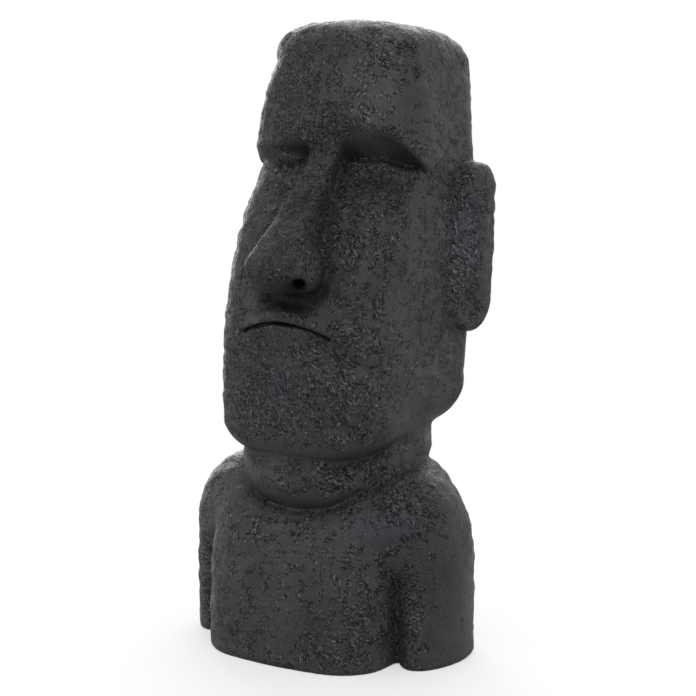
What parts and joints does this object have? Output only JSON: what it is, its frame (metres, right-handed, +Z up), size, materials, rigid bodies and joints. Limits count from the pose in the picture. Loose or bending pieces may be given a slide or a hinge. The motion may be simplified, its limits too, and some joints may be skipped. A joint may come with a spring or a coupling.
{
  "type": "moai head statue",
  "caption": "Cast garden statue of a moai: long head with heavy brow, hooked nose and slab ears on a neck and shoulders, flat underside.",
  "frame": {"origin": "on the flat underside, in the middle plane, below the middle of the shoulders", "axes": "+Z up, the face looks towards -Y, +X is the statue's left"},
  "size_m": [0.271, 0.2373, 0.5595],
  "materials": {
    "charcoal_stone": "matt"
  },
  "bodies": {
    "root": {"moai_statue": "charcoal_stone"}
  },
  "joints": []
}
